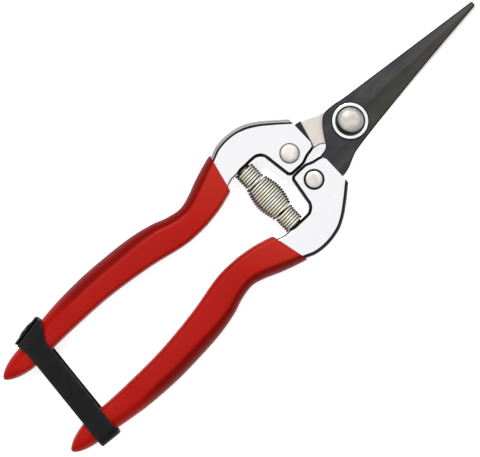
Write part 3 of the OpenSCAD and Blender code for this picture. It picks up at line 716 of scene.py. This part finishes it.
def frame_grid(side, fold, rolled):
    """Rings of a folded channel, one for each row: up the outer wall, round the fold, across the
    plate, round its rolled edge, and back along the inside of the sheet."""
    rows = resampled(frame_rows(), 5)
    inner = np.stack([rows[:, 0], -rows[:, 1]], 1)
    d = rows[:, 2]
    slope = (bow_side(d + 0.05) - bow_side(d - 0.05)) / 0.1
    outer = np.stack([bow_side(d), -d], 1)
    away = outer - inner
    long = np.linalg.norm(away, axis=1)[:, None]
    along = away / long
    lean = (along * np.stack([np.ones_like(slope), slope], 1)).sum(1) / np.sqrt(1 + slope**2)
    k = 1 / lean[:, None]
    under_grip = ease(MOUTH_BACK - 2, WAIST_BACK - 4, d)[:, None]
    bw, bh = mix(fold, 3.0, under_grip), mix(fold, 2.4, under_grip)
    a = quarter(9)[None, :]
    one = np.ones_like(long)
    # the rolled edge keeps its width where a row meets the edge slanted
    run = np.gradient(inner, axis=0)
    square = np.abs(along[:, 0] * run[:, 1] - along[:, 1] * run[:, 0]) / np.linalg.norm(run, axis=1)
    square = np.maximum(square, 0.65)[:, None]
    re = np.minimum(rolled / square, 0.2 * long)
    band = np.maximum(long - re - 1.8 / square, mix(bw * k, long - re, 0.5))
    flat = np.concatenate([
        mix(bw * k, band, np.linspace(0, 1, 11)[None, 1:]),
        mix(band, long - re, np.linspace(0, 1, 9)[None, 1:-1]),
    ], 1)
    lining = mix(long - 2 * PLATE_LIP, (SHEET_T + STEEL_LIP) * k, np.linspace(0, 1, 6)[None, :])
    b = a[:, 1:]
    parts = [
        (0 * one, 0 * one), (0 * one, 0.55 * (PLATE - bh)),
        (bw * k * (1 - np.cos(a)), PLATE - bh * (1 - np.sin(a))),
        (flat, PLATE + 0 * flat),
        (long - re * (1 - np.sin(a)), PLATE - re * (1 - np.cos(a)) * 1.15),
        (long - PLATE_LIP * (1 - np.cos(a)), CHANNEL + PLATE_LIP * (1 - np.sin(a))),
        (lining, CHANNEL + 0 * lining),
        ((SHEET_T + STEEL_LIP * (1 - np.sin(b))) * k, CHANNEL - STEEL_LIP * (1 - np.cos(b))),
        (SHEET_T * k, 0 * one),
    ]
    turn = [0, 0, a / (np.pi / 2), 1.5, 2, 2, 2, 2, 2]
    folded = np.concatenate([0 * p[0] + 0 * one + t for p, t in zip(parts, turn)], 1)
    s = np.concatenate([p[0] + 0 * one for p in parts], 1)
    z = np.concatenate([p[1] + 0 * one for p in parts], 1)
    flatpos = outer[:, None, :] - along[:, None, :] * s[:, :, None]
    upper = np.concatenate([flatpos, z[:, :, None]], 2)
    lower = upper[:, ::-1][:, 1:-1] * (1, 1, -1)
    grid = np.concatenate([upper, lower], 1)
    # painted shade along the cut edge: 1 on it and 0 beyond 2 mm, fading at the mouth and at the nose's front
    cut = np.where(s > long - 0.01, 1, np.clip(1 - from_line(flatpos, inner) / 2, 0, 1))
    cut = cut * (1 - ease(MOUTH_BACK - 6, MOUTH_BACK, rows[:, 1])[:, None])
    cut = cut * mix(0.5, 1, ease(NOSE_BACK + 0.2, NOSE_BACK + 1.2, -flatpos[..., 1]))
    whole = lambda m: np.concatenate([m, m[:, ::-1][:, 1:-1]], 1)
    return grid * (side, 1, 1), whole(cut), whole(folded)


# ---- Spring ----


def spring_grid(wire, coils):
    """Tube along a barrel helix. The axis position follows the angle, with a wider step between the
    close end coils and the barrel; the radius swells by a cosine between them."""
    steps = 44
    half = SEAT_X - 0.05 - wire / 2
    u = np.linspace(-1, 1, coils * steps + 1)[:, None]
    x = half * (0.955 * u + 0.0225 * (np.tanh((u - 0.53) / 0.02) + np.tanh((u + 0.53) / 0.02)))
    a = math.pi * coils * u
    swell = np.where(np.abs(x) < 7, np.cos(np.pi / 2 * x / 7), 0)
    r = SPRING_END_R - wire / 2 + (SPRING_MID_R - SPRING_END_R) * swell
    b = np.linspace(0, 2 * math.pi, 12, endpoint=False)[None, :]
    q = r + wire / 2 * np.cos(b)
    grid = np.stack([x + wire / 2 * np.sin(b), -SPRING_BACK + q * np.cos(a), q * np.sin(a)], -1)
    return grid, np.broadcast_to(0.5 - 0.5 * np.cos(b), q.shape), np.broadcast_to(np.cos(a), q.shape)


# ---- Strap ----


def strap_grid(thick, wide, tab):
    """Flat band carried round both handles: up the inner layer of the riveted wall, over the front,
    round the right handle, back behind both and up the outer layer of the wall.

    The path runs in a plane of (distance p from the left handle's side, height); its width line turns
    and widens smoothly from the strap's own line to the handle's side at the riveted tab."""
    side = lambda back, column: float(grip_side(np.array(back), column))
    tilt = math.atan((side(TAB_BACK - 4.0, 2) - side(TAB_BACK + 4.0, 2)) / 8)
    at = (side(STRAP_BACK, 1) + side(STRAP_BACK, 2)) / 2
    fall = math.atan(STRAP_DROP / (2 * at))
    base = np.array([-side(TAB_BACK, 2), -TAB_BACK])
    out_left = np.array([-math.cos(tilt), -math.sin(tilt)])
    up_left = np.array([-math.sin(tilt), math.cos(tilt)])
    run = np.array([math.cos(fall), -math.sin(fall)])
    up_right = np.array([math.sin(fall), math.cos(fall)])
    swing = np.array([-at, -STRAP_BACK])
    p_swing = float((swing - base) @ run)
    reach = (side(STRAP_BACK + STRAP_DROP - 3.5, 2) + at + 0.3) / math.cos(fall)
    p_wall = p_swing + reach + thick / 2
    top = REST - thick / 2
    r = STRAP_BEND
    inner, outer = -0.1 - thick / 2, -0.1 - 1.5 * thick
    slow, fast = r * (1 - np.cos(quarter(9))), r * (1 - np.sin(quarter(9)))
    legs = [
        (np.full(5, inner), np.linspace(-2.2, top - r - 0.2, 5)),
        (inner + slow, top - fast),
        (np.linspace(inner + r + 0.3, p_wall - r - 0.2, 90), np.full(90, top)),
        (p_wall - fast, top - slow),
        (np.full(8, p_wall), np.linspace(top - r - 0.3, r + 0.3 - top, 8)),
        (p_wall - slow, -top + fast),
        (np.linspace(p_wall - r - 0.3, outer + r + 0.2, 90), np.full(90, -top)),
        (outer + fast, -top + slow),
        (np.full(6, outer), np.linspace(r + 0.3 - top, 3.3, 6)),
    ]
    p = np.concatenate([l[0] for l in legs])
    z = np.concatenate([l[1] for l in legs])
    turn = np.stack([np.gradient(p), np.gradient(z)], 1)
    turn /= np.linalg.norm(turn, axis=1)[:, None]
    off_p, off_z = turn[:, 1], -turn[:, 0]
    share = ease(-0.6, 5.5, p)[:, None]
    centre = mix(base - out_left * p[:, None], swing + run * (p[:, None] - p_swing), share)
    line = mix(tab / 2 * up_left, wide / 2 * up_right, share)
    step = mix(-out_left, run, share)
    step /= np.linalg.norm(step, axis=1)[:, None]
    # rounded rectangle: places across the width (-1..1) and through the thickness (-1..1)
    a = quarter(4)
    round_w, round_t = 0.32 / (wide / 2), 0.62
    ends = 1 - round_w + round_w * np.sin(a)
    lift = 1 - round_t + round_t * np.cos(a)
    flat = np.linspace(-0.86, 0.86, 11)
    b = np.concatenate([flat, ends, ends[::-1], -flat, -ends, -ends[::-1]])
    h = np.concatenate([np.ones(11), lift, -lift[::-1], -np.ones(11), -lift, lift[::-1]])
    tips = np.concatenate([[0.35, 0.8, 1.0], np.ones(len(p) - 6), [1.0, 0.8, 0.35]])[:, None]
    through_p = (thick / 2 * tips * off_p[:, None] * h)[:, :, None] * step[:, None, :]
    flatpos = centre[:, None, :] + b[None, :, None] * line[:, None, :] + through_p
    height = z[:, None] + thick / 2 * tips * off_z[:, None] * h
    edge_near = np.broadcast_to(np.abs(b) ** 8, height.shape)
    return np.concatenate([flatpos, height[:, :, None]], 2), edge_near


# ---- Settings ----


def size_setting(name, description, value, low, high):
    return bpy.props.FloatProperty(
        name=name, description=description, default=value, min=low, max=high, precision=5, unit="LENGTH")


class SnipsSizes(bpy.types.PropertyGroup):
    """Sizes that change the look within the frame."""

    blade_corner: size_setting("Blade corner", "Radius of the blades' outer corners", 0.00022, 0.0001, 0.0004)
    fold: size_setting("Frame fold", "Radius of the fold along the bow", 0.0016, 0.001, 0.002)
    rolled: size_setting("Rolled edge", "Radius of the plates' rolled inner edges", 0.0009, 0.0003, 0.0011)
    wire: size_setting("Spring wire", "Thickness of the spring wire", 0.00074, 0.0006, 0.0008)
    coils: bpy.props.IntProperty(name="Coils", description="Turns of the spring", default=25, min=20, max=26)
    strap_thick: size_setting("Strap thickness", "Thickness of the strap", 0.00105, 0.0008, 0.0012)
    strap_wide: size_setting("Strap width", "Width of the strap between the handles", 0.007, 0.006, 0.008)
    tab_wide: size_setting("Tab width", "Width of the strap's riveted tab", 0.0108, 0.010, 0.012)


def colour_setting(name, description, value):
    return bpy.props.FloatVectorProperty(
        name=name, description=description, default=value, size=3, min=0, max=1, subtype="COLOR")


class SnipsColours(bpy.types.PropertyGroup):
    """Colours of the finishes, as linear values."""

    blade_spine_side: colour_setting("Coating, spine side", "Bluish dark coating", (0.026, 0.027, 0.032))
    blade_edge_side: colour_setting("Coating, edge side", "Olive dark coating", (0.043, 0.042, 0.033))
    bare_steel: colour_setting("Bare steel", "Ground rear blade", (0.61, 0.565, 0.525))
    plate: colour_setting("Plate", "Bright frame plating", (0.91, 0.91, 0.93))
    tang_rivet: colour_setting("Tang rivets", "Steel of the tang rivets", (0.64, 0.60, 0.565))
    pivot_head: colour_setting("Pivot head", "Steel of the pivot rivet", (0.60, 0.57, 0.535))
    washer: colour_setting("Washer", "Bright pivot washers", (0.96, 0.96, 0.94))
    spring_wire: colour_setting("Spring wire", "Straw-coloured plating", (0.97, 0.93, 0.70))
    grip: colour_setting("Grips", "Red vinyl of the grips", (0.46, 0.007, 0.003))
    grip_rubbed: colour_setting("Grips, rubbed", "Paler red by the mouths", (0.52, 0.024, 0.011))
    grip_bevel_shade: colour_setting("Grips, bevel", "Deeper red behind the crease", (0.20, 0.002, 0.0006))
    strap: colour_setting("Strap", "Black band", (0.0055, 0.0055, 0.006))


def sizes():
    return bpy.context.scene.snips_sizes


def colours():
    return bpy.context.scene.snips_colours


# ---- Operators ----


class SNIPS_OT_stage(bpy.types.Operator):
    """Camera straight above, pale floor and soft overhead light"""

    bl_idname = "snips.stage"
    bl_label = "Stage"

    def execute(self, context):
        scene = context.scene
        data = bpy.data.cameras.new("above")
        data.lens, data.sensor_width, data.clip_end = CAMERA_LENS, CAMERA_SENSOR, 10
        camera = placed("above", data)
        camera.location = CAMERA_AT
        camera.rotation_euler = (0, 0, math.atan2(CAMERA_RIGHT[1], CAMERA_RIGHT[0]))
        scene.camera = camera

        w = FLOOR_HALF
        floor_mesh = bpy.data.meshes.new("floor")
        floor_mesh.from_pydata([(-w, -w, 0), (w, -w, 0), (w, w, 0), (-w, w, 0)], [], [(0, 1, 2, 3)])
        floor = placed("floor", floor_mesh)
        paper = Finish("floor_paper")
        fibre = paper.grain(900, detail=2)
        colour = paper.blend(fibre, (0.93, 0.93, 0.93), (0.95, 0.95, 0.95))
        paper.shade(Base_Color=colour, Roughness=0.9, Specular_IOR_Level=0.0)
        path = paper.add("ShaderNodeLightPath").outputs
        seen = paper.sum("MAXIMUM", path["Is Camera Ray"], path["Is Glossy Ray"])
        seen = paper.sum("MAXIMUM", seen, path["Is Transmission Ray"])
        glow = paper.add("ShaderNodeEmission", {"Strength": paper.sum("MULTIPLY", seen, FLOOR_GLOW)})
        both = paper.add("ShaderNodeAddShader", {0: paper.shader.outputs[0], 1: glow.outputs[0]})
        paper.tree.links.new(both.outputs[0], paper.tree.nodes["Material Output"].inputs["Surface"])
        floor_mesh.materials.append(paper.material)

        scene.world = bpy.data.worlds.new("overhead_light")
        scene.world.use_nodes = True
        sky = Nodes(scene.world.node_tree)
        direction = sky.add("ShaderNodeTexCoord").outputs["Generated"]
        lean = sky.add("ShaderNodeVectorMath", {0: direction, 1: SKY_LEAN}, operation="DOT_PRODUCT")
        ramp = sky.add("ShaderNodeValToRGB", {"Fac": lean.outputs["Value"]})
        marks = ramp.color_ramp.elements
        while len(marks) < len(SKY_LEVELS):
            marks.new(0.5)
        for mark, (place, level) in zip(marks, SKY_LEVELS):
            mark.position, mark.color = place, (level, level, level, 1)
        sky.tree.links.new(ramp.outputs["Color"], sky.tree.nodes["Background"].inputs["Color"])

        lamp = bpy.data.lights.new("soft_sun", "SUN")
        lamp.energy, lamp.angle = SUN_ENERGY, SUN_SPREAD
        sun = placed("soft_sun", lamp)
        sun.rotation_euler = Vector(SUN_FROM).to_track_quat("Z", "Y").to_euler()

        scene.view_settings.view_transform = "Standard"
        return {"FINISHED"}


class SNIPS_OT_blades(bpy.types.Operator):
    """Coated front blade and bare rear blade, with their tangs"""

    bl_idname = "snips.blades"
    bl_label = "Blades"

    def execute(self, context):
        grid, edge_near = blade_grid(sizes().blade_corner / MM)
        front = skinned("front_blade_body", grid, coated_blade_finish(colours()), {"edge_near": edge_near}, 30)
        settle(front, "right_half", ["front_blade"])
        rear = skinned("rear_blade_body", grid * (-1, 1, -1), bare_blade_finish(colours()), {"edge_near": edge_near}, 30)
        settle(rear, "left_half", ["rear_blade"])
        return {"FINISHED"}


class SNIPS_OT_pivot(bpy.types.Operator):
    """Pivot rivet with its domed head, and the grooved washers under its head and tail"""

    bl_idname = "snips.pivot"
    bl_label = "Pivot"

    def execute(self, context):
        a = quarter(16)
        head_low = WASHER_TOP + 0.05
        dome = np.stack([HEAD_R * np.cos(a) ** 0.42, head_low + 0.5 + 1.6 * np.sin(a)], 1)
        tail_a = quarter(5)
        tail = np.stack([HEAD_R - 0.3 + 0.3 * np.sin(tail_a), -REST + 0.3 * (1 - np.cos(tail_a))], 1)
        profile = np.concatenate([
            [(0, -REST)], tail,
            [(HEAD_R, -head_low), (SHANK_R, -head_low), (SHANK_R, head_low)],
            [(HEAD_R - 0.12, head_low), (HEAD_R, head_low + 0.12)], dome,
        ])
        profile[-1, 0] = 0
        # painted shade at the head's rim and where the rivet meets the washers
        painted_shade = np.where((np.abs(profile[:, 1]) < head_low + 0.3) & (profile[:, 0] > 2), 1.0, 0.0)
        # the crescent is a painted shadow on the head's side away from the sun
        finish = rivet_finish("pivot_steel", colours().pivot_head, 0.50, (-0.3, 0.6, 4.2))
        rivet = turned("pivot_rivet_body", profile, (0, 0, 0), finish, {"painted_shade": painted_shade}, 96)
        settle(rivet, "left_half", ["pivot_rivet"])
        steel = rivet_finish("washer_steel", colours().washer, 0.10)
        low, high = BLADE_T + 0.05, WASHER_TOP
        c = quarter(4)
        outside = np.stack([WASHER_R - 0.15 * (1 - np.cos(c)), high - 0.15 * (1 - np.sin(c))], 1)
        # level outer ring, then a groove under the head's rim
        section = np.concatenate([
            [(SHANK_R + 0.04, low), (WASHER_R, low)], outside,
            [(HEAD_R + 0.62, high), (HEAD_R + 0.56, high - 0.06), (HEAD_R + 0.5, high - 0.4)],
            [(HEAD_R - 0.3, high - 0.4), (HEAD_R - 0.3, high), (SHANK_R + 0.04, high)],
        ])
        # painted shade on the washer's inner part and in its groove under the head's rim
        painted_shade = np.where(section[:, 0] < HEAD_R + 0.58, 1.0, 0.0)
        ring = np.linspace(0, 2 * math.pi, 96, endpoint=False)[:, None]
        for where, up in (("front", 1), ("rear", -1)):
            grid = np.stack([
                section[:, 0] * np.cos(ring), section[:, 0] * np.sin(ring), up * section[:, 1] + 0 * ring,
            ], -1)
            faces = ring_faces(*grid.shape[:2], closed=True)
            marks = {"painted_shade": np.tile(painted_shade, len(ring))}
            made = make_piece(f"{where}_washer_body", grid.reshape(-1, 3), faces, steel, marks)
            settle(made, "left_half", [f"pivot_{where}_washer"])
        return {"FINISHED"}


class SNIPS_OT_frames(bpy.types.Operator):
    """Plated channel frames with their folds and rolled edges"""

    bl_idname = "snips.frames"
    bl_label = "Frames"

    def execute(self, context):
        for hand, side, ring in (("left", -1, 0.08), ("right", 1, 0.16)):
            grid, cut, folded = frame_grid(side, sizes().fold / MM, sizes().rolled / MM)
            finish = plate_finish(f"{hand}_frame_plating", colours(), side, ring)
            made = skinned(f"{hand}_frame_body", grid, finish, {"cut_edge": cut, "folded": folded})
            settle(made, f"{hand}_half", [f"{hand}_frame"])
        return {"FINISHED"}


class SNIPS_OT_tang_rivets(bpy.types.Operator):
    """Low domed rivets that hold the tangs in the frames"""

    bl_idname = "snips.tang_rivets"
    bl_label = "Tang rivets"

    def execute(self, context):
        a = quarter(12)
        seat = PLATE + 0.05
        dome = np.stack([RIVET_R * np.cos(a) ** 0.36, seat + 0.2 + (RIVET_H - 0.2) * np.sin(a)], 1)
        half = np.concatenate([[(2.0, 0), (2.0, seat), (RIVET_R - 0.08, seat)], dome])
        profile = np.concatenate([half[::-1] * (1, -1), half[1:]])
        profile[[0, -1], 0] = 0
        low = np.abs(profile[:, 1]) < seat + 0.1
        steel = rivet_finish("tang_rivet_steel", colours().tang_rivet, 0.40)
        # painted shade: dark at each rivet's foot and in a ring round the rim of its head, paler on the left
        for hand, side, shade_from, share in (("left", -1, 2.95, 0.55), ("right", 1, 2.6, 1.0)):
            name = f"{hand}_tang_rivet"
            painted_shade = np.where(low, 1.0, share * ease(shade_from - 0.12, shade_from + 0.12, profile[:, 0]))
            place = (side * RIVET_X, -RIVET_BACK, 0)
            made = turned(f"{name}_body", profile, place, steel, {"painted_shade": painted_shade}, 64)
            settle(made, f"{hand}_half", [name])
        return {"FINISHED"}


class SNIPS_OT_spring(bpy.types.Operator):
    """Barrel spring between the frames"""

    bl_idname = "snips.spring"
    bl_label = "Spring"

    def execute(self, context):
        grid, inward, flank = spring_grid(sizes().wire / MM, sizes().coils)
        made = skinned("barrel_spring", grid, spring_finish(colours()), {"inward": inward, "flank": flank})
        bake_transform(made)
        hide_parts("spring")
        return {"FINISHED"}


class SNIPS_OT_grips(bpy.types.Operator):
    """Dipped sleeves over the legs, creased along their outer side"""

    bl_idname = "snips.grips"
    bl_label = "Grips"

    def execute(self, context):
        vinyl = grip_finish(colours())
        for hand, side in (("left", -1), ("right", 1)):
            grid, shade = grip_grid(side)
            made = skinned(f"{hand}_grip_body", grid, vinyl, {"shade": shade})
            settle(made, f"{hand}_half", [f"{hand}_grip"])
        return {"FINISHED"}


class SNIPS_OT_strap(bpy.types.Operator):
    """Strap latch round both handles, with its rivet on the left one"""

    bl_idname = "snips.strap"
    bl_label = "Strap"

    def execute(self, context):
        size = sizes()
        grid, edge_near = strap_grid(size.strap_thick / MM, size.strap_wide / MM, size.tab_wide / MM)
        made = skinned("strap_band", grid, strap_finish(colours()), {"edge_near": edge_near})
        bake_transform(made)
        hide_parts("strap_anchor", "strap_loop")
        return {"FINISHED"}


class SNIPS_OT_small_parts(bpy.types.Operator):
    """Finishes of the frame's own small parts: spacers, spring seats, strap rivet and its washer"""

    bl_idname = "snips.small_parts"
    bl_label = "Small parts"

    def execute(self, context):
        dark = worn_steel_finish("channel_steel", HIDDEN_STEEL)
        bright = rivet_finish("strap_rivet_steel", colours().tang_rivet, 0.22)
        given = {"strap_rivet": bright, "strap_burr": bright}
        for hand in ("left", "right"):
            given[f"{hand}_tang_spacer"] = given[f"{hand}_spring_seat"] = dark
        for name, finish in given.items():
            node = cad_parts[name]
            if not node.material_slots:
                raise RuntimeError(f"{name} has no material slot")
            for place in node.material_slots:
                place.material = finish
        return {"FINISHED"}


class SNIPS_PT_pieces(bpy.types.Panel):
    """Lists the pieces and their settings"""

    bl_idname = "SNIPS_PT_pieces"
    bl_label = "Snips"
    bl_space_type = "VIEW_3D"
    bl_region_type = "UI"
    bl_category = "Snips"

    def draw(self, context):
        column = self.layout.column()
        for operator in OPERATORS:
            column.operator(operator.bl_idname)
        for group in (context.scene.snips_sizes, context.scene.snips_colours):
            box = self.layout.box()
            for key in group.__annotations__:
                box.prop(group, key)


OPERATORS = (
    SNIPS_OT_stage, SNIPS_OT_blades, SNIPS_OT_pivot, SNIPS_OT_frames, SNIPS_OT_tang_rivets,
    SNIPS_OT_spring, SNIPS_OT_grips, SNIPS_OT_strap, SNIPS_OT_small_parts,
)
CLASSES = (SnipsSizes, SnipsColours, *OPERATORS, SNIPS_PT_pieces)


def register():
    for c in CLASSES:
        bpy.utils.register_class(c)
    bpy.types.Scene.snips_sizes = bpy.props.PointerProperty(type=SnipsSizes)
    bpy.types.Scene.snips_colours = bpy.props.PointerProperty(type=SnipsColours)


def unregister():
    del bpy.types.Scene.snips_colours
    del bpy.types.Scene.snips_sizes
    for c in reversed(CLASSES):
        bpy.utils.unregister_class(c)


def main():
    """Registers the settings and operators, and makes every piece in order."""
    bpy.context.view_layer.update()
    register()
    for operator in OPERATORS:
        group, name = operator.bl_idname.split(".")
        getattr(getattr(bpy.ops, group), name)()
    bpy.context.view_layer.update()


if __name__ == "__main__":
    main()
